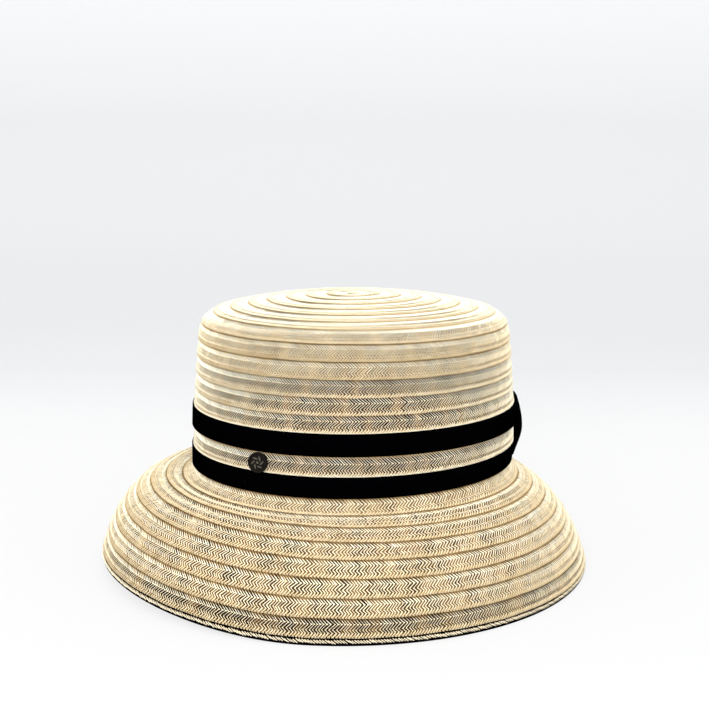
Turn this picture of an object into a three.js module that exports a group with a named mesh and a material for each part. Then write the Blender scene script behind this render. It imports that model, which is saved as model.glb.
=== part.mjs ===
// A cloche hat of sewn straw braid at its real size, in millimetres. +Z is up, the front of the
// hat faces -Y, the wearer's left is +X, and the brim rests on the plane z = 0.
//
// The hat is worked round an oval. Each piece is a section of a few points that is carried once
// round that oval. "along" is measured on the straw's outer face, up the crown or down the brim
// from the crown's foot, and "out" is measured square to that face.
import * as THREE from "three";

// The oval at the crown's foot, on the straw's outer face
const SEGMENTS = 60;
const HALF_LENGTH = 100; // front to back
const HALF_WIDTH = 87; // side to side

// The straw
const BRAID_STEP = 10.3; // what shows of one row of braid
const LIP = 0.8; // how far the lower edge of a row stands over the row below it
const STEP_HEIGHT = 0.5; // of the little riser between two rows
const STRAW = 1.7; // the wall where a row is thinnest
const GAP = 0.3; // what separate pieces keep between them

// The crown, measured up from its foot
const FOOT = 66.8; // height of the foot above the table
const FOOT_RAKE = 0.015; // how much the foot rises towards the back, mm for each mm
const TIP_RAKE = 0.001; // the same at the shoulder
const WALL = 82; // slanting height of the side wall
const WALL_LEAN = 3.3; // degrees that the wall leans in
const WALL_SWELL = 1; // how far it swells out half-way up
const BACK_FULLNESS = 2.2; // how much further the back of the crown stands out than the front
const FULL_ABOVE = 20; // height up the wall where the back reaches that
const SHOULDER_RADIUS = 15;
const TIP_SLOPE = 15; // degrees, where the shoulder runs into the domed tip
const BANDED_ROWS = { number: 3, step: 12.45 }; // the rows at the ribbons lap less
const SIDE_ROWS = { number: 5, step: 10.13 }; // from there to the groove on the shoulder
const JOINT = 4; // height of the seam between crown and brim, under the lower ribbon

// The brim, measured down from the crown's foot
const FILLET = 10; // length of the bend where the wall turns into the brim
const FIRST_ROW = 10.4; // lower edge of the row that takes that bend
const BRIM_ROWS = 8; // rows from there, each with its lower edge a braid step below the last
const EDGE_ROLL = 2.9; // the selvedge that turns down round the rim
const FRONT_LIFT = 8; // how far the front of the rim stands off the table
const LIFT_START = 0.15; // how far forward the rim faces where it leaves the table: 0 side, 1 front
// Degrees below the horizontal: the four controls of a Bezier curve from the crown to the rim
const BRIM_SLOPES = [
  { front: -10, back: 26, left: 11, right: 8 },
  { front: 34, back: 42, left: 46, right: 39 },
  { front: 62, back: 64, left: 69, right: 59 },
  { front: 72, back: 74, left: 86, right: 75 },
];

// The trimming
const RIBBON = 1.2; // thickness of the two bands
const LOWER_BAND = { bottom: 0.2, top: 12.8 };
const UPPER_BAND = { bottom: 24.5, top: 37.8 };
const SWEATBAND = { bottom: 1.5, top: 31, thickness: 1 };
const TAPE = { width: 12, thickness: 1.2, shows: 1.5 }; // the ribbon that faces the rim inside
const KEEPER = { width: 13, bottom: 1, top: 41, thickness: 1.5, bow: 1.4, stations: 12 };
const STUD = { radius: 6, height: 1.8, rim: 0.8, well: 0.4, bevel: 0.4, dome: 0.5, sides: 24 };
const STUD_POST = { radius: 1.8, along: 18.4, turn: -32 }; // turn: degrees from the wearer's left

const STRAW_FINISH = { color: 0xe6cfa2, roughness: 0.75, metalness: 0 };
const RIBBON_FINISH = { color: 0x0b0b0e, roughness: 0.85, metalness: 0 };
const STUD_FINISH = { color: 0x2a2520, roughness: 0.35, metalness: 0.6 };

const { degToRad, lerp, clamp, smoothstep } = THREE.MathUtils;
const HALF_TURN = Math.PI;
const QUARTER_TURN = Math.PI / 2;
const UNDER = -LIP - STRAW; // the straw's inner face
const OVER = RIBBON + 2 * GAP; // clear of the ribbons

// The crown's outline from its foot to the middle of the tip: a slightly swollen wall, an arc for
// the shoulder and a flat arc for the tip. It gives how far a point lies in from the foot, how
// high it is, and how far its outward normal has turned up.
const lean = degToRad(WALL_LEAN);
const shoulderEnd = QUARTER_TURN - degToRad(TIP_SLOPE);
const shoulderLength = SHOULDER_RADIUS * (shoulderEnd - lean);

function arc(start, radius, from, to) {
  return {
    inset: start.inset + radius * (Math.cos(from) - Math.cos(to)),
    height: start.height + radius * (Math.sin(to) - Math.sin(from)),
    turned: to,
  };
}
const wallTop = { inset: WALL * Math.sin(lean), height: WALL * Math.cos(lean) };
const shoulderTop = arc(wallTop, SHOULDER_RADIUS, lean, shoulderEnd);
const tipRadius = (HALF_WIDTH - shoulderTop.inset) / Math.cos(shoulderEnd);
const crownLength = WALL + shoulderLength + tipRadius * degToRad(TIP_SLOPE);

function crownOutline(along) {
  if (along <= WALL) {
    const inset = along * Math.sin(lean) - WALL_SWELL * Math.sin((HALF_TURN * along) / WALL);
    return { inset, height: along * Math.cos(lean), turned: lean };
  }
  if (along <= WALL + shoulderLength)
    return arc(wallTop, SHOULDER_RADIUS, lean, lean + (along - WALL) / SHOULDER_RADIUS);
  const onTip = (along - WALL - shoulderLength) / tipRadius;
  return arc(shoulderTop, tipRadius, shoulderEnd, shoulderEnd + onTip);
}

// The oval drawn in by an inset, with its back half drawn out by a fullness. It closes to a point
// where the inset is the half width.
function oval(turn, inset, fullness = 0) {
  const closing = (Math.max(inset, 0) / HALF_WIDTH) ** 2;
  const length = HALF_LENGTH - inset - (HALF_LENGTH - HALF_WIDTH) * closing;
  const back = Math.sin(turn) > 0 ? fullness * (1 - closing) : 0;
  const x = (HALF_WIDTH - inset) * Math.cos(turn);
  return new THREE.Vector3(x, (length + back) * Math.sin(turn), 0);
}

// Lifts a point of an oval to its height above the foot, with the rake that the crown has there.
function raise(point, height) {
  const share = clamp(height / wallTop.height, 0, 1);
  point.z = FOOT + height + lerp(FOOT_RAKE, TIP_RAKE, share) * point.y;
  return point;
}

function onCrown(turn, along, out) {
  const { inset, height, turned } = crownOutline(along);
  const fullness = BACK_FULLNESS * smoothstep(along, 0, FULL_ABOVE);
  const point = oval(turn, inset - out * Math.cos(turned), fullness);
  return raise(point, height + out * Math.sin(turned));
}

// The way that the foot of the crown faces at a turn, as a level unit vector.
function facing(turn) {
  const across = HALF_LENGTH * Math.cos(turn);
  return new THREE.Vector3(across, HALF_WIDTH * Math.sin(turn), 0).normalize();
}

// A value given for the front, back, left and right, blended for the way that a point faces.
function blend({ front, back, left, right }, { x, y }) {
  const mean = (front + back + left + right) / 4;
  const lengthways = (front + back - left - right) / 4;
  return mean + lengthways * (y * y - x * x) + ((back - front) * y + (left - right) * x) / 2;
}

function rimHeight(direction) {
  return FRONT_LIFT * smoothstep(-direction.y, LIFT_START, 1);
}

// The brim's outline at one turn, stepped down from the foot to the rim. Its drop is stretched
// so that the rim comes down to where it rests.
const BRIM_PACE = 0.5;
const brimLength = FIRST_ROW + (BRIM_ROWS - 1) * BRAID_STEP + EDGE_ROLL;
const paces = Math.round(brimLength / BRIM_PACE);

function brimSlope(direction, along) {
  const t = clamp((along - FILLET) / (brimLength - FILLET), 0, 1);
  const shares = [(1 - t) ** 3, 3 * t * (1 - t) ** 2, 3 * t * t * (1 - t), t ** 3];
  const slope = BRIM_SLOPES.reduce((sum, row, i) => sum + shares[i] * blend(row, direction), 0);
  return lerp(QUARTER_TURN, degToRad(slope), clamp(along / FILLET, 0, 1));
}

function brimOutline(turn) {
  const direction = facing(turn);
  const points = [{ reach: 0, drop: 0, slope: QUARTER_TURN }];
  for (let pace = 1; pace <= paces + TAPE.shows / BRIM_PACE; pace += 1) {
    const slope = brimSlope(direction, (pace - 0.5) * BRIM_PACE);
    const { reach, drop } = points.at(-1);
    points.push({
      reach: reach + BRIM_PACE * Math.cos(slope),
      drop: drop + BRIM_PACE * Math.sin(slope),
      slope: brimSlope(direction, pace * BRIM_PACE),
    });
  }
  const foot = raise(oval(turn, 0), 0);
  const rim = rimHeight(direction) + TAPE.shows;
  return { direction, foot, points, stretch: (foot.z - rim) / points[paces].drop };
}

const tapeStations = [1, 0.5, 0].map((share) => brimLength - share * TAPE.width);

const turnOf = (segment) => (segment * 2 * HALF_TURN) / SEGMENTS;
const brimOutlines = Array.from({ length: SEGMENTS }, (_, segment) => brimOutline(turnOf(segment)));

function onBrim(turn, along, out) {
  if (along < 0) return onCrown(turn, -along, out);
  const { direction, foot, points, stretch } = brimOutlines[Math.round(turn / turnOf(1))];
  const index = Math.min(Math.floor(along / BRIM_PACE), points.length - 2);
  const share = along / BRIM_PACE - index;
  const slope = lerp(points[index].slope, points[index + 1].slope, share);
  const reach = lerp(points[index].reach, points[index + 1].reach, share);
  const drop = lerp(points[index].drop, points[index + 1].drop, share);
  const point = foot.clone().addScaledVector(direction, reach + out * Math.sin(slope));
  point.z -= drop * stretch - out * Math.cos(slope);
  return point;
}

function named(name, geometry, finish) {
  const mesh = new THREE.Mesh(geometry, new THREE.MeshStandardMaterial(finish));
  mesh.name = name;
  return mesh;
}

// A section carried round the oval. Its points run up the outer face and down the inner one.
function wrapped(section, place) {
  const outline = section.map(([along, out]) => new THREE.Vector2(out, along));
  const geometry = new THREE.LatheGeometry(outline, SEGMENTS);
  const position = geometry.getAttribute("position");
  for (let i = 0; i < position.count; i += 1) {
    const segment = Math.floor(i / section.length) % SEGMENTS;
    const [along, out] = section[i % section.length];
    position.setXYZ(i, ...place(turnOf(segment), along, out).toArray());
  }
  geometry.computeVertexNormals();
  return geometry;
}

const steps = (from, step, number) => Array.from({ length: number }, (_, i) => from + i * step);
const everyOther = (list) => list.filter((_, i) => i % 2 === 1);

// Rows of braid sewn in rings. The lower edge of each laps over the row below it.
function crown() {
  const banded = BANDED_ROWS.number * BANDED_ROWS.step;
  const side = banded + SIDE_ROWS.number * SIDE_ROWS.step;
  const tipRows = Math.floor((crownLength - side) / BRAID_STEP);
  const grooves = [
    ...steps(BANDED_ROWS.step, BANDED_ROWS.step, BANDED_ROWS.number),
    ...steps(banded + SIDE_ROWS.step, SIDE_ROWS.step, SIDE_ROWS.number),
    ...steps(side + BRAID_STEP, BRAID_STEP, tipRows),
  ];
  const seam = JOINT + GAP / 2;
  const inner = [crownLength, ...everyOther(grooves).reverse(), seam];
  const outer = grooves.flatMap((groove) => [[groove - STEP_HEIGHT, -LIP], [groove, 0]]);
  const section = [...inner.map((along) => [along, UNDER]), [seam, 0], ...outer];
  return wrapped([...section, [crownLength, -LIP]], onCrown);
}

function brim() {
  const grooves = steps(FIRST_ROW, BRAID_STEP, BRIM_ROWS);
  const seam = GAP / 2 - JOINT;
  const outer = grooves.flatMap((groove) => [[groove, 0], [groove + STEP_HEIGHT, -LIP]]).reverse();
  const edge = [[brimLength, UNDER], [brimLength, -LIP], [brimLength - EDGE_ROLL / 2, 0]];
  const open = everyOther(grooves).filter((groove) => groove < tapeStations[0]);
  const inner = [seam, 0, FILLET / 2, ...open, ...tapeStations].map((along) => [along, UNDER]);
  return wrapped([...edge, ...outer, [0, 0], [seam, 0], ...inner], onBrim);
}

// A flat ribbon round the crown, from one distance along it to another.
function ribbon({ bottom, top }, inside, thickness) {
  const section = [[bottom, inside + thickness], [top, inside + thickness], [top, inside]];
  return wrapped([...section, [bottom, inside], section[0]], onCrown);
}

// The ribbon inside the rim. Its lower edge is what the hat stands on, so it is level there.
function edgeTape() {
  const face = UNDER - GAP;
  const back = face - TAPE.thickness;
  const bottom = brimLength + TAPE.shows;
  const stations = [...tapeStations, bottom];
  const section = [
    ...stations.map((along) => [along, face]).reverse(),
    ...stations.map((along) => [along, back]),
  ];
  const place = (turn, along, out) => {
    const point = onBrim(turn, along, out);
    if (along === bottom) point.z = rimHeight(facing(turn));
    return point;
  };
  return wrapped([...section, section[0]], place);
}

// A ribbon tab that covers the ends of both bands at the centre back, bowed a little outwards.
function bandKeeper() {
  const { width, bottom, top, thickness, bow, stations } = KEEPER;
  const face = (station, out) => {
    const share = station / stations;
    const lift = OVER + bow * Math.sin(share * HALF_TURN);
    const { y, z } = onCrown(QUARTER_TURN, lerp(bottom, top, share), lift + out);
    return new THREE.Vector2(y, z);
  };
  const list = Array.from({ length: stations + 1 }, (_, station) => station);
  const outer = list.map((station) => face(station, thickness));
  const inner = list.map((station) => face(station, 0)).reverse();
  const side = new THREE.Shape([...outer, ...inner]);
  const geometry = new THREE.ExtrudeGeometry(side, { depth: width, bevelEnabled: false });
  geometry.translate(0, 0, -width / 2);
  const [x, y, z] = [[1, 0, 0], [0, 1, 0], [0, 0, 1]].map((axis) => new THREE.Vector3(...axis));
  return geometry.applyMatrix4(new THREE.Matrix4().makeBasis(y, z, x));
}

// A round stud with a raised rim and a shallow domed face. Its post goes in to the straw between
// the ribbons, and the stud itself stands clear of both.
function stud() {
  const { radius, height, rim, well, bevel, dome, sides } = STUD;
  const back = OVER - GAP;
  const front = back + height;
  const profile = [
    [0, 0], [STUD_POST.radius, 0], [STUD_POST.radius, back],
    [radius, back], [radius, front - bevel], [radius - bevel, front],
    [radius - rim, front], [radius - rim, front - well], [0, front - well + dome],
  ];
  const outline = profile.map(([across, deep]) => new THREE.Vector2(across, deep));
  const mesh = named("badge_stud", new THREE.LatheGeometry(outline, sides), STUD_FINISH);
  const turn = degToRad(STUD_POST.turn);
  const outward = facing(turn).setZ(Math.tan(lean)).normalize();
  mesh.position.copy(onCrown(turn, STUD_POST.along, GAP));
  mesh.quaternion.setFromUnitVectors(new THREE.Vector3(0, 1, 0), outward);
  return mesh;
}

const hat = new THREE.Group();
hat.add(
  named("crown", crown(), STRAW_FINISH),
  named("brim", brim(), STRAW_FINISH),
  named("lower_band", ribbon(LOWER_BAND, GAP, RIBBON), RIBBON_FINISH),
  named("upper_band", ribbon(UPPER_BAND, GAP, RIBBON), RIBBON_FINISH),
  named("band_keeper", bandKeeper(), RIBBON_FINISH),
  stud(),
  named("edge_tape", edgeTape(), RIBBON_FINISH),
  named("sweatband", ribbon(SWEATBAND, UNDER - GAP - SWEATBAND.thickness, SWEATBAND.thickness),
    RIBBON_FINISH),
);

// The origin is under the middle of the whole hat, on the table.
const middle = new THREE.Box3().setFromObject(hat).getCenter(new THREE.Vector3());
hat.position.set(-middle.x, -middle.y, 0);

export default hat;
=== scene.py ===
"""A cloche hat of sewn straw braid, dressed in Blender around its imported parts."""

import math

import bpy
import numpy as np
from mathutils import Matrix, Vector


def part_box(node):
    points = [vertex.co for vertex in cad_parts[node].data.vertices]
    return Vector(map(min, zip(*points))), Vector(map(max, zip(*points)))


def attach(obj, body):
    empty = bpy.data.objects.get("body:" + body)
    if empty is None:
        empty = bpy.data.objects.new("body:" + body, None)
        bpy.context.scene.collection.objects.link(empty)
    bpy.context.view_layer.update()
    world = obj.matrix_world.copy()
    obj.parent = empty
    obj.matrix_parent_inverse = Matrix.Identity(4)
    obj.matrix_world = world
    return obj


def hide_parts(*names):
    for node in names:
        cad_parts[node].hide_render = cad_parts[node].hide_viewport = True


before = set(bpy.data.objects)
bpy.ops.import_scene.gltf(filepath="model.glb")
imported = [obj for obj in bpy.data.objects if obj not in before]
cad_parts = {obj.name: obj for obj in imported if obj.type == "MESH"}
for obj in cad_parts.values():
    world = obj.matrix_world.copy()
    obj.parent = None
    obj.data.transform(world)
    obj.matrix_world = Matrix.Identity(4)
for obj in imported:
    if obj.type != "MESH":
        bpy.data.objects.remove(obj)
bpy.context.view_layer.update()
MM = 0.001

# ---------------------------------------------------------------------------------------
# The crown is one long straw braid, sewn row over row from the middle of the tip down to the
# foot. Each strand runs slantwise across the braid, over and under those that cross it, and
# turns back at the selvedge. The lower selvedge of each row laps over the row below.
# ---------------------------------------------------------------------------------------
HALF_LENGTH, HALF_WIDTH = 100, 87  # of the oval at the crown's foot
FOOT, FOOT_RAKE, TIP_RAKE = 66.8, 0.015, 0.001  # the foot's height, and each one's rise to the back
WALL, WALL_LEAN = 82, math.radians(3.3)  # from the foot to the shoulder, leaning in
WALL_SWELL = 1  # how far the wall rounds out between them
BACK_FULLNESS, FULL_ABOVE = 2.2, 20  # the back is fuller, but less so this near the foot
SHOULDER_RADIUS = 15
TIP_SLOPE = math.radians(15)  # of the tip where it leaves the shoulder
# Where the lower selvedge of each row lies, up the outside from the foot
CROWN_LIPS = [0, 12.45, 24.9] + [37.35 + 10.13 * i for i in range(5)]
TIP_LIPS = [88 + 10.3 * i for i in range(9)]

FULL_TURN = 2 * math.pi
SHOULDER_END = math.pi / 2 - TIP_SLOPE
SHOULDER_LENGTH = SHOULDER_RADIUS * (SHOULDER_END - WALL_LEAN)
WALL_TOP = (WALL * math.sin(WALL_LEAN), WALL * math.cos(WALL_LEAN))


def arc(start, radius, begins, ends):
    """How far in and how high a point is at the end of an arc of the crown's outline."""
    inset = start[0] + radius * (math.cos(begins) - np.cos(ends))
    return inset, start[1] + radius * (np.sin(ends) - math.sin(begins))


SHOULDER_TOP = arc(WALL_TOP, SHOULDER_RADIUS, WALL_LEAN, SHOULDER_END)
TIP_RADIUS = (HALF_WIDTH - SHOULDER_TOP[0]) / math.cos(SHOULDER_END)
CROWN_LENGTH = WALL + SHOULDER_LENGTH + TIP_RADIUS * TIP_SLOPE


def smooth(share):
    """0 to 1 with a gentle start and end."""
    share = np.clip(share, 0, 1)
    return share * share * (3 - 2 * share)


def oval(turn, inset, fullness=0):
    """Across and along the crown's oval. It grows rounder further in, and may be fuller behind."""
    closing = (np.maximum(inset, 0) / HALF_WIDTH) ** 2
    length = HALF_LENGTH - inset - (HALF_LENGTH - HALF_WIDTH) * closing
    length = length + np.where(np.sin(turn) > 0, fullness * (1 - closing), 0)
    return (HALF_WIDTH - inset) * np.cos(turn), length * np.sin(turn)


def on_crown(turn, along, out):
    """Points of the crown in millimetres: along up its wall from the foot, out of the straw."""
    turn, along, out = np.broadcast_arrays(turn, along, out)
    on_shoulder = WALL_LEAN + (along - WALL) / SHOULDER_RADIUS
    on_tip = SHOULDER_END + (along - WALL - SHOULDER_LENGTH) / TIP_RADIUS
    parts = [along <= WALL, along <= WALL + SHOULDER_LENGTH]
    turned = np.select(parts, [WALL_LEAN + 0 * along, on_shoulder], on_tip)
    shoulder = arc(WALL_TOP, SHOULDER_RADIUS, WALL_LEAN, on_shoulder)
    tip = arc(SHOULDER_TOP, TIP_RADIUS, SHOULDER_END, on_tip)
    swell = WALL_SWELL * np.sin(math.pi * along / WALL)
    wall = along * math.sin(WALL_LEAN) - swell, along * math.cos(WALL_LEAN)
    inset, height = (np.select(parts, [wall[i], shoulder[i]], tip[i]) for i in range(2))
    fullness = BACK_FULLNESS * smooth(along / FULL_ABOVE)
    x, y = oval(turn, inset - out * np.cos(turned), fullness)
    height = height + out * np.sin(turned)
    share = np.clip(height / WALL_TOP[1], 0, 1)
    rake = FOOT_RAKE + (TIP_RAKE - FOOT_RAKE) * share
    return np.stack([x, y, FOOT + height + rake * y], -1)


# The crown's box in the frame tells where its oval lies
crown_low = np.array(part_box("crown")[0]) / MM
front_edge = on_crown(-math.pi / 2, np.array(CROWN_LIPS), 0)[:, 1].min()
side_edge = on_crown(math.pi, np.array(CROWN_LIPS), 0)[:, 0].min()
MIDDLE = np.array([crown_low[0] - side_edge, crown_low[1] - front_edge, 0]) * MM

STRAND_PITCH = 1.6  # from one strand to the next along the braid
STRAND_RISE, STRAND_SINK = 0.24, 0.14  # of a strand's ridge and its edges from its middle
WEAVE = 0.2  # how far a strand rides over or under the middle of the braid
BRAID_STEP = 10.3  # what shows of a row
LIP = 0.8  # how far a selvedge stands over the row below
# Where the strands that lean to the right and those that lean to the left change places on top,
# across the braid from its lower selvedge, in strands. The last float is under the row above.
CROWN_FLOATS = [0, 1.5, 2.5, 4.5, 6.5, 8]
CHANGE = 0.3  # half the length over which they change places
# How much light gets to the ridge of a strand on top at each station: brown up to 0.5, bare straw
# from 1, and 3 lights its sides as well
LIT = np.array([0.8, 0.9, 1, 1, 1, 1, 3, 0.42, 0.3])
# Half a strand's width for each millimetre of the pitch: on top in a close and in an open row, on
# top at the selvedge, and underneath
WIDE, NARROW, LAPPED, UNDER = 0.17, 0.1, 0.23, 0.46
SELVEDGE = 1.4  # how far in from its edge the selvedge goes, in strands
# The light that a strand gets underneath, by how open the row's weave is
CLOSE, OPEN, DENSE = 0.06, 0, 0.25
# The braid's small faults: how far a row wanders up and down, and how far strands crowd, stray
# along and out, and differ in width
WANDER, CROWD, STRAY, LIFT, UNEVEN = 0.16, 0.22, 0.05, 0.03, 0.16
WALL_REACH = 92  # from the middle of the hat, on average
FEWEST = 12  # strands in the smallest coil at the middle of the tip
PATCHY = 0.14  # how much the light underneath comes and goes along a row


def waves(rng, turn, size, counts):
    """A smooth random wave round the hat, of about the given size."""
    total = np.zeros_like(turn)
    for count in counts:
        total = total + rng.uniform(0.5, 1) * np.sin(count * turn + rng.uniform(0, FULL_TURN))
    return total * size / math.sqrt(len(counts))


def straws(place, turn, along, out, half, tint, light):
    """Straws of three faces each, laid through rows of stations: their corners and shades."""
    turn, along, out, half, light = np.broadcast_arrays(turn, along, out, half, light)
    centre = place(turn, along, out)
    outward = place(turn, along, out + 1) - centre
    outward /= np.linalg.norm(outward, axis=-1, keepdims=True)
    run = np.gradient(centre, axis=1)
    side = np.cross(run, outward)
    side *= half[..., None] / np.linalg.norm(side, axis=-1, keepdims=True)
    flat = centre - outward * STRAND_SINK
    corners = np.stack([centre + outward * STRAND_RISE, flat - side, flat + side], 2)
    return corners, tint, light


def braid_row(place, lip, top, seed, under=CLOSE, floats=CROWN_FLOATS, pitch=STRAND_PITCH, whitening=0):
    """One row of braid with its selvedge at lip. It shows as far as top."""
    rng = np.random.default_rng(seed)
    around = np.linspace(0, FULL_TURN, 240, endpoint=False)
    middle = place(around, (lip + top) / 2, 0)
    length = np.linalg.norm(middle - np.roll(middle, 1, 0), axis=1).sum()
    count = max(int(length / pitch), FEWEST)
    step = FULL_TURN / count
    start = np.arange(count)[:, None] * step
    stretch = min((top - lip) / BRAID_STEP, 1.03)
    wander_seed, crowd_seed = rng.integers(1 << 30, size=2)

    def lay(turn, across):
        """Where a strand goes, with the braid's small wanderings."""
        wander = waves(np.random.default_rng(wander_seed), turn, WANDER, [5, 14, 31])
        crowding = [count // 7, count // 11, count // 17]
        crowd = waves(np.random.default_rng(crowd_seed), turn, CROWD * step, crowding)
        return turn + crowd, lip + stretch * across + wander

    changes = np.array(floats)[1:-1, None] * pitch + np.array([-CHANGE, CHANGE])
    across = np.array([0.4, *changes.ravel()[:-1], floats[-1] * pitch])
    over = np.array([0, 1, -1, -1, 1, 1, -1, -1, 0])
    # Whitened rows lose some of their painted shade.
    light = np.where(LIT < 1, 1 - (1 - LIT) * (1 - whitening), LIT)
    if top - lip > 1.1 * BRAID_STEP:  # the last float shows above the ribbons
        over[-1], light[-2:] = 1, 1
    if place is on_crown:
        room = across * stretch < (CROWN_LENGTH - lip) * 0.97
        across, over, light = across[room], over[room], light[room]
    made = []
    for way in (1, -1):
        turn = start + way * step / pitch * across + rng.normal(0, STRAY * step, (count, 1))
        on_top = over * way >= 0
        wide = np.where(across < SELVEDGE * pitch, LAPPED, WIDE if under else NARROW) * pitch
        out = -0.1 - LIP * np.clip(across / BRAID_STEP, 0, 1.3) + way * over * WEAVE
        out = out + rng.normal(0, LIFT, (count, 1))
        clusters = waves(np.random.default_rng(wander_seed + 1), turn, PATCHY, [19, 41, 67])
        shade = np.where(on_top, light, np.clip(under + clusters, 0, 1))
        half = np.where(on_top, wide * rng.normal(1, UNEVEN, (count, 1)), UNDER * pitch)
        tint = whitening + rng.beta(1.8, 1.8, count)
        made.append(straws(place, *lay(turn, across), out, half, tint, shade))
    return made


def lip_strokes(place, lip, seed, pitch=STRAND_PITCH):
    """The folds of the selvedge where they stand out pale against a black ribbon."""
    rng = np.random.default_rng(seed)
    count = int(FULL_TURN * WALL_REACH / pitch)
    step = FULL_TURN / count
    turn = np.arange(count)[:, None] * step + np.array([-0.6, 0, 0.6]) * step
    along = lip + np.array([1.2, 0.5, -0.1]) + rng.normal(0, 0.1, (count, 1))
    out = np.array([0.1, 0.3, 0.1]) + rng.normal(0, 0.07, (count, 3))
    half = 0.4 * rng.normal(1, 0.15, (count, 1))
    return straws(place, turn, along, out, half, 0.5 + 0.7 * rng.beta(3, 2, count), 1)


SIDE_LIGHT = 0.6  # what the low sides of a strand get of the light on its ridge


def joined(name, bundles):
    """One mesh of many straws in the hat's frame, with attributes for their material."""
    corners, quads, ends, tints, lights, grains, inner = [], [], [], [], [], [], []
    first = straw = 0
    for points, tint, light in bundles:
        number, stations = points.shape[:2]
        index = first + np.arange(3 * number * stations).reshape(number, stations, 3)
        here, there = index[:, :-1], index[:, 1:]
        for one, other in ((1, 0), (2, 1), (0, 2)):
            face = [here[..., other], there[..., other], there[..., one], here[..., one]]
            quads.append(np.stack(face, -1).reshape(-1, 4))
            inner.append(np.full(len(quads[-1]), one == 2, float))
        ends += [index[:, 0], index[:, -1, ::-1]]
        run = np.linalg.norm(np.diff(points[:, :, 0], axis=1), axis=-1).cumsum(1)
        run = np.concatenate([np.zeros((number, 1)), run], 1)[..., None] + np.zeros(3)
        across = np.zeros_like(run) + np.array([0, -0.5, 0.5])
        own = straw + np.arange(number)[:, None, None] + 0 * run
        corners.append(points.reshape(-1, 3))
        tints.append(np.repeat(tint, stations * 3))
        lights.append((light[..., None] * np.array([1, SIDE_LIGHT, SIDE_LIGHT])).ravel())
        grains.append(np.stack([run, across, own], -1).reshape(-1, 3))
        first += index.size
        straw += number
    spots = np.concatenate(corners) * MM + MIDDLE
    mesh = bpy.data.meshes.new(name)
    faces = np.concatenate(quads).tolist() + np.concatenate(ends).tolist()
    mesh.from_pydata(spots, [], faces)
    mesh.polygons.foreach_set("use_smooth", [True] * len(mesh.polygons))
    inner.append(np.zeros(len(faces) - sum(len(part) for part in inner)))
    shades = (("tint", tints, "POINT"), ("light", lights, "POINT"), ("inner", inner, "FACE"))
    for label, values, domain in shades:
        attribute = mesh.attributes.new(label, "FLOAT", domain)
        attribute.data.foreach_set("value", np.concatenate(values))
    attribute = mesh.attributes.new("grain", "FLOAT_VECTOR", "POINT")
    attribute.data.foreach_set("vector", np.concatenate(grains).ravel())
    piece = bpy.data.objects.new(name, mesh)
    bpy.context.collection.objects.link(piece)
    return piece


class Wire:
    """A socket of a material's nodes, on which sums add Math nodes."""

    def __init__(self, socket):
        self.socket = socket

    def node(self, kind, settings=(), sockets=(), output=0):
        """Any other node: its type, its settings, then the values or links of its sockets."""
        made = self.socket.id_data.nodes.new(kind)
        for key, value in dict(settings).items():
            if key == "stops":
                ramp = made.color_ramp.elements
                while len(ramp) < len(value):
                    ramp.new(0.5)
                for stop, (place, colour) in zip(ramp, value):
                    stop.position, stop.color = place, colour
            else:
                setattr(made, key, value)
        for key, value in dict(sockets).items():
            if isinstance(value, Wire):
                self.socket.id_data.links.new(value.socket, made.inputs[key])
            else:
                made.inputs[key].default_value = value
        return Wire(made.outputs[output])

    def sum(self, operation, first, second):
        return self.node("ShaderNodeMath", {"operation": operation}, {0: first, 1: second})

    def __add__(self, other):
        return self.sum("ADD", self, other)

    def __sub__(self, other):
        return self.sum("SUBTRACT", self, other)

    def __rsub__(self, other):
        return self.sum("SUBTRACT", other, self)

    def __mul__(self, other):
        return self.sum("MULTIPLY", self, other)

    def __rmul__(self, other):
        return self.sum("MULTIPLY", other, self)

    def noise(self, scale, detail=2, stretch=(1, 1, 1)):
        """Noise read at this vector, stretched by different amounts along its axes."""
        at = self.node("ShaderNodeVectorMath", {"operation": "MULTIPLY"}, {0: self, 1: stretch})
        return self.node("ShaderNodeTexNoise", (), {"Vector": at, "Scale": scale, "Detail": detail})

    def mix(self, low, high):
        """A colour between low and high, by this value."""
        settings = {"data_type": "RGBA"}
        return self.node("ShaderNodeMix", settings, {"Factor": self, 6: low, 7: high}, 2)

    def feed(self, shader, name):
        self.socket.id_data.links.new(self.socket, shader.inputs[name])


def new_material(name):
    """A material's shader, and a wire that carries the place on the piece."""
    made = bpy.data.materials.new(name)
    made.use_nodes = True
    nodes = made.node_tree.nodes
    place = nodes.new("ShaderNodeTexCoord").outputs["Object"]
    return made, nodes["Principled BSDF"], Wire(place)


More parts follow.
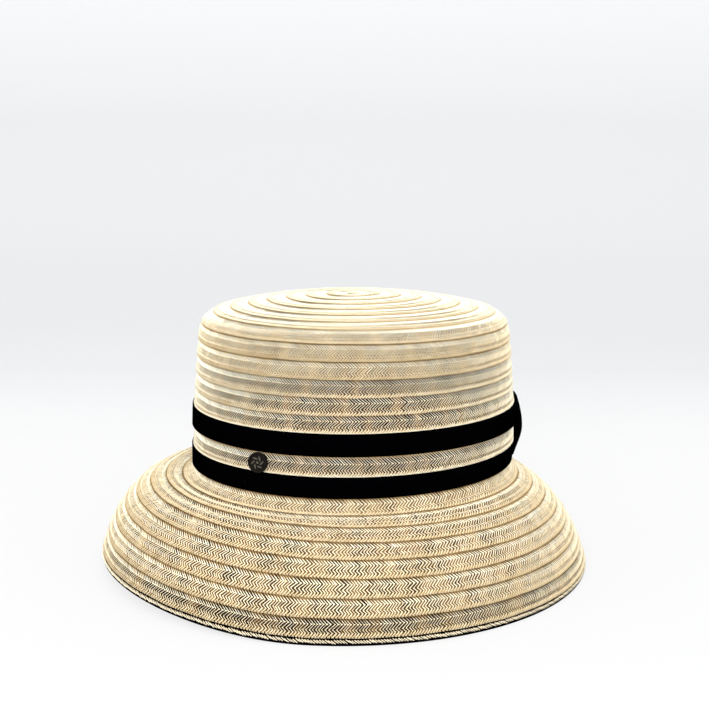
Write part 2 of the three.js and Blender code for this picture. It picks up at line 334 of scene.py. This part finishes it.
def straw_material():
    """Bleached straw: each strand a little lighter or darker, with painted brown shade where light is
    lost and whiter where a painted highlight lies.
    """
    made, shader, place = new_material("straw")

    def read(name, output="Fac"):
        return place.node("ShaderNodeAttribute", {"attribute_name": name}, (), output)

    fibres = read("grain", "Vector").noise(1, 3, (0.5, 9, 3.7))
    patches = place.noise(60, 3)
    tone = read("tint") * 0.45 + fibres * 0.15 + patches * 0.5 - 0.05
    ripe, pale, whitest = (0.72, 0.595, 0.36, 1), (0.97, 0.95, 0.80, 1), (0.97, 0.96, 0.90, 1)
    # Tones above 1 go towards the whitest straw. On the tip this is a painted highlight, where light
    # glances off it.
    lit = (tone * 1.6 - 1.6).mix(tone.mix(ripe, pale), whitest)
    # Painted shade from the strands' light attribute. On their inner faces it turns over, since the
    # strands beneath on the outside are on top on the inside.
    light, inner = read("light"), read("inner")
    light = light + inner * (1 - 2 * light)
    # The painted shade runs from near black under the other strands, through brown, to ochre.
    deepest_shade, brown, ochre = (0.008, 0.004, 0.001, 1), (0.11, 0.055, 0.015, 1), (0.50, 0.35, 0.16, 1)
    stops = [(0.0, deepest_shade), (0.12, brown), (0.5, ochre)]
    shaded = light.node("ShaderNodeValToRGB", {"stops": stops}, {"Fac": light})
    colour = (light * 2 - 1).mix(shaded, lit)
    colour.feed(shader, "Base Color")
    (0.62 - fibres * 0.2).feed(shader, "Roughness")
    relief = {"Height": fibres, "Distance": 0.00006, "Strength": 0.15}
    fibres.node("ShaderNodeBump", (), relief).feed(shader, "Normal")
    shader.inputs["Specular IOR Level"].default_value = 0.12
    return made


STRAW = straw_material()


def straw_piece(name, bundles, node):
    """A piece of braid, with the frame's node that it stands for."""
    piece = joined(name, bundles)
    piece.data.materials.append(STRAW)
    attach(piece, "root")
    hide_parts(node)


lips = CROWN_LIPS + TIP_LIPS + [CROWN_LENGTH]
crown_weave = [DENSE, OPEN, CLOSE, OPEN, OPEN, OPEN] + [CLOSE] * 12
# The tip is whitened as a painted highlight, where light glances off it. The strokes of the open rows
# are whitened too.
TIP_HIGHLIGHT, OPEN_WHITENING = 0.4, 0.45
crown_rows = []
for i, (lip, top) in enumerate(zip(lips, lips[1:])):
    whitening = TIP_HIGHLIGHT if lip > WALL else OPEN_WHITENING * (crown_weave[i] == OPEN)
    crown_rows.append(braid_row(on_crown, lip, top, i, crown_weave[i], whitening=whitening))
for i in (1, 3):  # the selvedges over the ribbons
    crown_rows[i].append(lip_strokes(on_crown, lips[i], 30 + i))
straw_piece("crown_foot_braid", sum(crown_rows[:4], []), "crown")
straw_piece("crown_side_braid", sum(crown_rows[4:8], []), "crown")
straw_piece("crown_tip_braid", sum(crown_rows[8:], []), "crown")

# ---------------------------------------------------------------------------------------
# The brim goes on with the same braid, row under row, down to the rim. The last selvedge
# turns down over the black facing. The strands are a little wider apart than in the crown.
# ---------------------------------------------------------------------------------------
FILLET = 10  # the brim turns out of the crown's foot over this much of its outer face
BRIM_LIPS = [0.1] + [10.4 + 10.3 * i for i in range(8)]
EDGE_ROLL = 2.9  # what the last selvedge adds below its row
FRONT_LIFT, LIFT_START = 8, 0.15  # the rim lifts at the front, from this share of the way there
TAPE_SHOWS = 1.5  # of the black facing, under the straw
# Degrees below the horizontal, front, back, left and right: the controls of a Bezier curve
BRIM_SLOPES = [(-10, 26, 11, 8), (34, 42, 46, 39), (62, 64, 69, 59), (72, 74, 86, 75)]
BRIM_PACE = 0.5  # down the outer face, from one point of its outline to the next
BRIM_LENGTH = BRIM_LIPS[-1] + EDGE_ROLL
RIM_REACH = 143  # from the middle of the hat, on average


def facing(turn):
    """The way out from the middle of the oval to its place at a turn."""
    across, length = HALF_LENGTH * np.cos(turn), HALF_WIDTH * np.sin(turn)
    size = np.hypot(across, length)
    return across / size, length / size


def blend(values, x, y):
    """A value for the way x, y out, between those for the front, back, left and right."""
    front, back, left, right = values
    lengthways = (front + back - left - right) / 4
    return sum(values) / 4 + lengthways * (y * y - x * x) + ((back - front) * y + (left - right) * x) / 2


def rim_height(turn):
    """How far the rim lifts off what the hat rests on."""
    return FRONT_LIFT * smooth((-facing(turn)[1] - LIFT_START) / (1 - LIFT_START))


def brim_table():
    """The brim's outlines at even turns: how far out, how far down and how steep at each pace."""
    turn = np.linspace(0, FULL_TURN, 360, endpoint=False)[:, None]
    x, y = facing(turn)

    def slope(along):
        t = np.clip((along - FILLET) / (BRIM_LENGTH - FILLET), 0, 1)
        shares = [(1 - t) ** 3, 3 * t * (1 - t) ** 2, 3 * t * t * (1 - t), t**3]
        degrees = sum(share * blend(row, x, y) for share, row in zip(shares, BRIM_SLOPES))
        bend = np.clip(along / FILLET, 0, 1)
        return math.pi / 2 * (1 - bend) + np.radians(degrees) * bend

    pace = np.arange(0, BRIM_LENGTH + TAPE_SHOWS + 1, BRIM_PACE)
    between = slope(pace[None, :-1] + BRIM_PACE / 2)
    gone = np.zeros((len(turn), 1))
    reach = np.concatenate([gone, np.cumsum(np.cos(between) * BRIM_PACE, 1)], 1)
    drop = np.concatenate([gone, np.cumsum(np.sin(between) * BRIM_PACE, 1)], 1)
    foot = on_crown(turn[:, 0], 0 * turn[:, 0], 0)[:, 2]
    rim = rim_height(turn[:, 0]) + TAPE_SHOWS
    last = round(BRIM_LENGTH / BRIM_PACE)
    drop *= ((foot - rim) / drop[:, last])[:, None]
    return np.stack([reach, drop, slope(pace[None, :])], -1)


BRIM_TABLE = brim_table()


def on_brim(turn, along, out):
    """Points of the brim in millimetres: along down its outer face from the crown's foot."""
    turn, along, out = np.broadcast_arrays(turn, along, out)
    turns, paces = BRIM_TABLE.shape[:2]
    round_at = turn / FULL_TURN * turns
    down_at = np.clip(along / BRIM_PACE, 0, paces - 1.001)
    i, j = np.floor(round_at).astype(int), np.floor(down_at).astype(int)
    f, g = (round_at - i)[..., None], (down_at - j)[..., None]
    i, after = i % turns, (i + 1) % turns
    near = BRIM_TABLE[i, j] * (1 - g) + BRIM_TABLE[i, j + 1] * g
    far = BRIM_TABLE[after, j] * (1 - g) + BRIM_TABLE[after, j + 1] * g
    reach, drop, slope = np.moveaxis(near * (1 - f) + far * f, -1, 0)
    foot = on_crown(turn, 0 * along, 0 * out)
    x, y = facing(turn)
    away = reach + out * np.sin(slope)
    brim = foot + np.stack([x * away, y * away, out * np.cos(slope) - drop], -1)
    return np.where((along < 0)[..., None], on_crown(turn, -along, out), brim)


def rim_selvedge():
    """The last folded edge: a ring of short strokes that lean back."""
    rng = np.random.default_rng(71)
    count = int(FULL_TURN * RIM_REACH / STRAND_PITCH)
    step = FULL_TURN / count
    turn = np.arange(count)[:, None] * step + np.array([-0.8, 0, 0.8]) * step
    along = BRIM_LENGTH - np.array([2.0, 1.2, 0.3]) + rng.normal(0, 0.18, (count, 1))
    out = np.array([-0.6, -0.25, -0.6]) + rng.normal(0, 0.06, (count, 3))
    half = 0.36 * rng.normal(1, 0.15, (count, 1))
    return straws(on_brim, turn, along, out, half, 1.3 + 0.5 * rng.beta(2, 2, count), 0.85)


BRIM_PITCH = 1.85
BRIM_FLOATS = [0, 1.5, 2.5, 4, 5.5, 7]
brim_weave = [DENSE] + [CLOSE * 1.5] * 6 + [OPEN]
brim_rows = [
    braid_row(on_brim, lip, top, 40 + i, brim_weave[i], BRIM_FLOATS, BRIM_PITCH)
    for i, (top, lip) in enumerate(zip(BRIM_LIPS[:-1], BRIM_LIPS[1:]))
]
straw_piece("brim_inner_braid", sum(brim_rows[:3], []), "brim")
straw_piece("brim_middle_braid", sum(brim_rows[3:6], []), "brim")
straw_piece("brim_outer_braid", sum(brim_rows[6:], []) + [rim_selvedge()], "brim")

# ---------------------------------------------------------------------------------------
# The two bands are black grosgrain ribbon, ribbed across. They lie over the crown's first and
# third rows, with their tops under the selvedges of the second and fourth. A wider ribbon inside
# keeps the straw off the head.
# ---------------------------------------------------------------------------------------
RIB_PITCH = 0.85
RIBBON_RELIEF, WORN_RELIEF = 0.06, 0.03  # of the ribs: outside, and on the ribbon in the hat
# How far up the crown each ribbon begins and ends
LOWER_BAND, UPPER_BAND, INNER_BAND = (0.2, 12.8), (24.5, 37.8), (1.5, 31)
OUTSIDE, INSIDE = (0.35, 1.2), (-3.75, -2.9)  # the ribbon's two faces, out from the crown's wall
ROUND_OUTSIDE, ROUND_INSIDE = 588, 560


def woven_band(name, section, place, length, relief=RIBBON_RELIEF):
    """A ribbed ribbon round the oval: its section goes up the outside and down the inside."""
    ribs = 2 * int(length / RIB_PITCH)
    turn = np.arange(ribs)[:, None] * FULL_TURN / ribs
    along, out = np.array(section, float).T
    rib = np.where(np.arange(ribs) % 2, relief, 0)[:, None]
    swell = np.sign(out - out.mean())
    edges = np.sign(along - along.mean()) * (np.abs(swell) < 0.5)
    points = place(turn, along + 2 * rib * edges, out + rib * swell)
    index = np.arange(points[..., 0].size).reshape(ribs, -1)
    after = np.roll(index, -1, 0)
    faces = [index, after, np.roll(after, -1, 1), np.roll(index, -1, 1)]
    mesh = bpy.data.meshes.new(name)
    spots = points.reshape(-1, 3) * MM + MIDDLE
    mesh.from_pydata(spots, [], np.stack(faces, -1).reshape(-1, 4).tolist())
    mesh.polygons.foreach_set("use_smooth", [True] * len(mesh.polygons))
    piece = bpy.data.objects.new(name, mesh)
    bpy.context.collection.objects.link(piece)
    return piece


def ribbon_material():
    """Black grosgrain: soft, with hardly any shine and a little lint."""
    made, shader, place = new_material("black ribbon")
    lint = place.noise(900, 1)
    dust = place.noise(120, 3)
    speck = (lint - 0.74) * 12 * dust
    speck = speck.node("ShaderNodeClamp", (), {"Value": speck})
    speck.mix((0.0003, 0.0003, 0.0005, 1), (0.02, 0.02, 0.022, 1)).feed(shader, "Base Color")
    shader.inputs["Roughness"].default_value = 0.9
    shader.inputs["Specular IOR Level"].default_value = 0
    return made


BLACK_RIBBON = ribbon_material()


def ribbon_piece(piece, node):
    """Makes a piece black ribbon, for the frame's node that it stands for."""
    piece.data.materials.append(BLACK_RIBBON)
    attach(piece, "root")
    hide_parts(node)


def flat_section(bottom, top, inside, outside, edge=0.35):
    """Up the outside and down the inside of a ribbon with soft edges."""
    middle = (inside + outside) / 2
    return [
        (bottom, middle), (bottom + edge, outside), ((bottom + top) / 2, outside),
        (top - edge, outside), (top, middle), (top - edge, inside), (bottom + edge, inside),
    ]


section = flat_section(*LOWER_BAND, *OUTSIDE)
ribbon_piece(woven_band("lower_ribbon", section, on_crown, ROUND_OUTSIDE), "lower_band")
section = flat_section(*UPPER_BAND, *OUTSIDE)
ribbon_piece(woven_band("upper_ribbon", section, on_crown, ROUND_OUTSIDE), "upper_band")
section = flat_section(*INNER_BAND, *INSIDE)
ribbon_piece(woven_band("inner_band", section, on_crown, ROUND_INSIDE, WORN_RELIEF), "sweatband")

# ---------------------------------------------------------------------------------------
# A tab of the same ribbon covers the ends of both bands at the centre back. It's stitched down at
# its ends and bows outwards between them.
# ---------------------------------------------------------------------------------------
TAB_BOTTOM, TAB_TOP, TAB_HALF = 1, 40, 6.5
TAB_LIFT, TAB_THICK, TAB_BOW = 1.15, 0.7, 3.1  # its inner face lies flat on the ribbons
TAB_RIBS, TAB_RELIEF = 46, 0.36
TAB_EDGE, TAB_ROUND, TAB_DROP = 0.2, 0.8, 0.3  # of the soft edges at its sides

step = np.arange(2 * TAB_RIBS + 1)
share = step / step[-1]
along = TAB_BOTTOM + (TAB_TOP - TAB_BOTTOM) * share
edge = on_crown(math.pi / 2, along, TAB_LIFT)
tuck = on_crown(math.pi / 2, along, TAB_LIFT + TAB_THICK + TAB_BOW * np.sin(math.pi * share))
rib = np.where(step % 2, TAB_RELIEF, 0)[:, None] * np.array([0, 1, 0])
outline = [
    edge - [TAB_HALF, 0, 0], edge + [TAB_HALF, 0, 0],
    tuck + rib + [TAB_HALF - TAB_EDGE, -TAB_DROP, 0], tuck + rib + [TAB_HALF - TAB_ROUND, 0, 0],
    tuck + rib - [TAB_HALF - TAB_ROUND, 0, 0], tuck + rib - [TAB_HALF - TAB_EDGE, TAB_DROP, 0],
]
points = np.stack(outline, 1)
index = np.arange(points[..., 0].size).reshape(len(step), -1)
here, there = index[:-1], index[1:]
faces = np.stack([here, np.roll(here, -1, 1), np.roll(there, -1, 1), there], -1).reshape(-1, 4).tolist()
faces += [index[0, ::-1].tolist(), index[-1].tolist()]
mesh = bpy.data.meshes.new("back_tab")
mesh.from_pydata(points.reshape(-1, 3) * MM + MIDDLE, [], faces)
mesh.polygons.foreach_set("use_smooth", [True] * len(mesh.polygons))
back_tab = bpy.data.objects.new("back_tab", mesh)
bpy.context.collection.objects.link(back_tab)
ribbon_piece(back_tab, "band_keeper")

# ---------------------------------------------------------------------------------------
# The rim is faced inside with black ribbon, sewn to the last row of the braid. Its fold shows as a
# thin line under the straw, and the hat stands on it.
# ---------------------------------------------------------------------------------------
FACING_WIDTH = 12
FACING_TURN = 6  # above the rim, where its faces begin to bend with the braid
UNDER_STRAW, INNERMOST = -2.8, -4  # the facing's two faces, out from the brim's straw
FOLD = BRIM_LENGTH + TAPE_SHOWS  # on which the hat stands
FOLD_OUT, FOLD_IN = -1.5, -3.6
ROUND_RIM = 900


def facing_place(turn, along, out):
    """On the brim, with the fold pressed level at the height that the rim stands off the table."""
    points = on_brim(turn, along, out)
    fold = np.broadcast_to(along > FOLD - 0.5, points.shape[:-1])
    level = np.broadcast_to(rim_height(turn), fold.shape)
    points[..., 2] = np.where(fold, level, np.maximum(points[..., 2], level))
    return points


# Down its inner face, across the fold, up what shows of it, then under the straw and up
section = [
    (BRIM_LENGTH - FACING_WIDTH, INNERMOST), (BRIM_LENGTH - FACING_TURN, INNERMOST),
    (BRIM_LENGTH, INNERMOST), (FOLD, FOLD_IN), (FOLD, FOLD_OUT),
    (BRIM_LENGTH + 0.9, -1.0), (BRIM_LENGTH + 0.25, -1.1), (BRIM_LENGTH + 0.2, UNDER_STRAW),
    (BRIM_LENGTH - FACING_TURN, UNDER_STRAW), (BRIM_LENGTH - FACING_WIDTH, UNDER_STRAW),
]
ribbon_piece(woven_band("rim_facing", section, facing_place, ROUND_RIM, 0), "edge_tape")

# ---------------------------------------------------------------------------------------
# The stud is a small cast disc with a raised rim and a plain rosette, oxidised to dark bronze.
# It's pinned through the straw between the two bands.
# ---------------------------------------------------------------------------------------
STUD_TURN, STUD_ALONG = math.radians(-32), 18.4
STUD_RADIUS, STUD_HEIGHT = 6, 1.8
STUD_LEAN = 0.17  # how far it's turned towards the ear, in radians
STUD_OUT, STUD_SEAT = 0.3, 1.2  # out from the crown's wall, then along its own pin to its back
STUD_EDGE = 0.25  # the round of its edges
RIM_WIDTH, RIM_SLOPE, DISH_DEPTH = 1, 0.25, 0.6
DISH_STEPS = [(1.6, 0.25), (1.6, 0.12)]  # how far in and how far up the dish's floor swells
PETALS, PETAL_RING, PETAL_TWIST = 6, 2.7, 0.8
PETAL_SIZE, PETAL_SUNK = (1.6, 0.5, 0.42), 0.2
BOSS_SIZE, BOSS_SUNK = (0.85, 0.85, 0.6), 0.15

bpy.ops.object.select_all(action="DESELECT")
bpy.ops.mesh.primitive_cylinder_add(
    vertices=64, radius=STUD_RADIUS * MM, depth=STUD_HEIGHT * MM, location=(0, 0, STUD_HEIGHT * MM / 2)
)
stud = bpy.context.object
stud.name = "bronze_stud"
bpy.ops.object.transform_apply(location=True, rotation=True, scale=True)
bpy.ops.object.mode_set(mode="EDIT")
bpy.ops.mesh.select_all(action="DESELECT")
bpy.ops.object.mode_set(mode="OBJECT")
for face in stud.data.polygons:
    face.select = face.normal.z > 0.9
bpy.ops.object.mode_set(mode="EDIT")
bpy.ops.mesh.inset(thickness=RIM_WIDTH * MM)
bpy.ops.mesh.inset(thickness=RIM_SLOPE * MM, depth=-DISH_DEPTH * MM)
for inwards, upwards in DISH_STEPS:
    bpy.ops.mesh.inset(thickness=inwards * MM, depth=upwards * MM)
bpy.ops.object.mode_set(mode="OBJECT")
bevel = stud.modifiers.new("soft edges", "BEVEL")
bevel.width, bevel.segments, bevel.angle_limit = STUD_EDGE * MM, 3, math.radians(40)
bpy.ops.object.modifier_apply(modifier=bevel.name)

plain_faces = len(stud.data.polygons)
# The rosette is a ring of slanting petals round a boss, a little lighter for wear and for a painted
# highlight on its raised relief
reliefs = []
for i in range(PETALS):
    turn = i * FULL_TURN / PETALS
    bpy.ops.mesh.primitive_uv_sphere_add(segments=16, ring_count=8, radius=MM)
    petal = bpy.context.object
    petal.scale = PETAL_SIZE
    petal.rotation_euler = (0, 0, turn + PETAL_TWIST)
    away = PETAL_RING * MM
    petal.location = (away * math.cos(turn), away * math.sin(turn), (STUD_HEIGHT - PETAL_SUNK) * MM)
    bpy.ops.object.transform_apply(location=True, rotation=True, scale=True)
    reliefs.append(petal)
bpy.ops.mesh.primitive_uv_sphere_add(segments=20, ring_count=10, radius=MM)
boss = bpy.context.object
boss.scale = BOSS_SIZE
boss.location = (0, 0, (STUD_HEIGHT - BOSS_SUNK) * MM)
bpy.ops.object.transform_apply(location=True, rotation=True, scale=True)
reliefs.append(boss)
for relief in reliefs:
    relief.select_set(True)
stud.select_set(True)
bpy.context.view_layer.objects.active = stud
bpy.ops.object.join()
x, y = facing(STUD_TURN + STUD_LEAN)
axis = Vector((x, y, math.tan(WALL_LEAN))).normalized()
stud.rotation_euler = axis.to_track_quat("Z", "Y").to_euler()
stud.location = Vector(on_crown(STUD_TURN, STUD_ALONG, STUD_OUT) * MM + MIDDLE) + axis * STUD_SEAT * MM
bpy.ops.object.transform_apply(location=True, rotation=True, scale=True)
bpy.ops.object.shade_smooth_by_angle(angle=math.radians(35))


def bronze(name, dark, light):
    """Oxidised bronze, mottled between two tones."""
    made, shader, place = new_material(name)
    place.noise(900, 4).mix(dark, light).feed(shader, "Base Color")
    shader.inputs["Roughness"].default_value = 0.4
    shader.inputs["Specular IOR Level"].default_value = 0.02
    return made


stud.data.materials.clear()
stud.data.materials.append(bronze("dark bronze", (0.001, 0.001, 0.0008, 1), (0.012, 0.01, 0.008, 1)))
stud.data.materials.append(bronze("worn highlit bronze", (0.015, 0.014, 0.01, 1), (0.11, 0.1, 0.075, 1)))
# The petals and boss take the lighter bronze: wear and a painted highlight.
for face in stud.data.polygons:
    face.material_index = int(face.index >= plain_faces)
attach(stud, "root")
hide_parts("badge_stud")

# ---------------------------------------------------------------------------------------
# The hat stands on a sweep of white paper, which rises behind it. A soft light hangs over it and a
# stronger one stands on the wearer's left. The paper near the hat glows with painted light, so shadows
# stay faint.
# ---------------------------------------------------------------------------------------
SWEEP_SIZE, SWEEP_MIDDLE = 8, (1.2, 0, -0.0001)
SWEEP_BACK, SWEEP_RISE, SWEEP_BEND = -2, 3.5, 1.4
# The glow is painted light, given off by paper that is no lamp.
GLOW, SKY = 0.76, 1.62  # the strengths of the paper's own glow and of the soft light all round
# How grey the paper is, and how much painted glow it gives, by how far along it is from under the hat:
# dark grey under the glow so that shadows hardly show, then graded greys that paint how the light falls
# across the sweep
GREYS = [(0.05, 0.12), (0.11, 0.525), (0.16, 0.53), (0.22, 0.55), (0.28, 0.57), (0.5, 0.56), (0.7, 0.66)]
GLOWS = [(0.05, 1), (0.11, 0)]
LAMPS = [((0.35, -0.15, 1.4), 14, 2), ((1.3, -0.1, 0.75), 63, 19)]  # where, degrees tilted, watts
LAMP_SIZE = 1

bpy.ops.object.select_all(action="DESELECT")
bpy.ops.mesh.primitive_plane_add(size=SWEEP_SIZE, location=SWEEP_MIDDLE)
sweep = bpy.context.object
sweep.name = "sweep"
bpy.ops.object.transform_apply(location=True, rotation=True, scale=True)
bpy.ops.object.mode_set(mode="EDIT")
bpy.ops.mesh.select_all(action="DESELECT")
bpy.ops.object.mode_set(mode="OBJECT")
for edge in sweep.data.edges:
    edge.select = all(sweep.data.vertices[corner].co.x < SWEEP_BACK for corner in edge.vertices)
bpy.ops.object.mode_set(mode="EDIT")
bpy.ops.mesh.extrude_region_move(TRANSFORM_OT_translate={"value": (0, 0, SWEEP_RISE)})
bpy.ops.object.mode_set(mode="OBJECT")
for edge in sweep.data.edges:
    ends = [sweep.data.vertices[corner].co for corner in edge.vertices]
    edge.select = all(end.x < SWEEP_BACK and end.z < 1 for end in ends)
bpy.ops.object.mode_set(mode="EDIT")
bpy.ops.mesh.bevel(offset=SWEEP_BEND, segments=24, affect="EDGES")
bpy.ops.object.mode_set(mode="OBJECT")
bpy.ops.object.shade_smooth()

made, shader, place = new_material("pale paper")
apart = place.node("ShaderNodeSeparateXYZ", (), {0: place}, "X")
height = Wire(apart.socket.node.outputs["Z"])
back = (height - apart) * 0.2
for levels, socket in ((GREYS, "Base Color"), (GLOWS, "Emission Color")):
    stops = [(distance, (level, level, level, 1)) for distance, level in levels]
    back.node("ShaderNodeValToRGB", {"stops": stops}, {"Fac": back}).feed(shader, socket)
shader.inputs["Emission Strength"].default_value = GLOW
shader.inputs["Roughness"].default_value = 1
shader.inputs["Specular IOR Level"].default_value = 0
sweep.data.materials.append(made)

world = bpy.data.worlds.new("soft light")
bpy.context.scene.world = world
world.use_nodes = True
world.node_tree.nodes["Background"].inputs["Color"].default_value = (0.97, 0.98, 1.0, 1)
world.node_tree.nodes["Background"].inputs["Strength"].default_value = SKY
for spot, tilt, power in LAMPS:
    bpy.ops.object.light_add(type="AREA", location=spot, rotation=(0, math.radians(tilt), 0))
    lamp = bpy.context.object
    lamp.data.size = LAMP_SIZE
    lamp.data.energy = power

# ---------------------------------------------------------------------------------------
# The camera looks at the wearer's left side from a little above the crown, so the front of
# the hat is on the left.
# ---------------------------------------------------------------------------------------
CAMERA_AWAY, CAMERA_HEIGHT, CAMERA_ASIDE = 0.7092, 0.2778, 0.0013  # metres
CAMERA_DOWN, CAMERA_ROLL = math.radians(11.6), math.radians(0.2)
LENS = 58.7

bpy.ops.object.camera_add(
    location=(MIDDLE[0] + CAMERA_AWAY, MIDDLE[1] + CAMERA_ASIDE, CAMERA_HEIGHT),
    rotation=(math.radians(90) - CAMERA_DOWN, 0, math.radians(90)),
)
camera = bpy.context.object
camera.rotation_euler.rotate_axis("Z", CAMERA_ROLL)
camera.data.lens = LENS
bpy.context.scene.camera = camera
bpy.context.scene.view_settings.view_transform = "Standard"
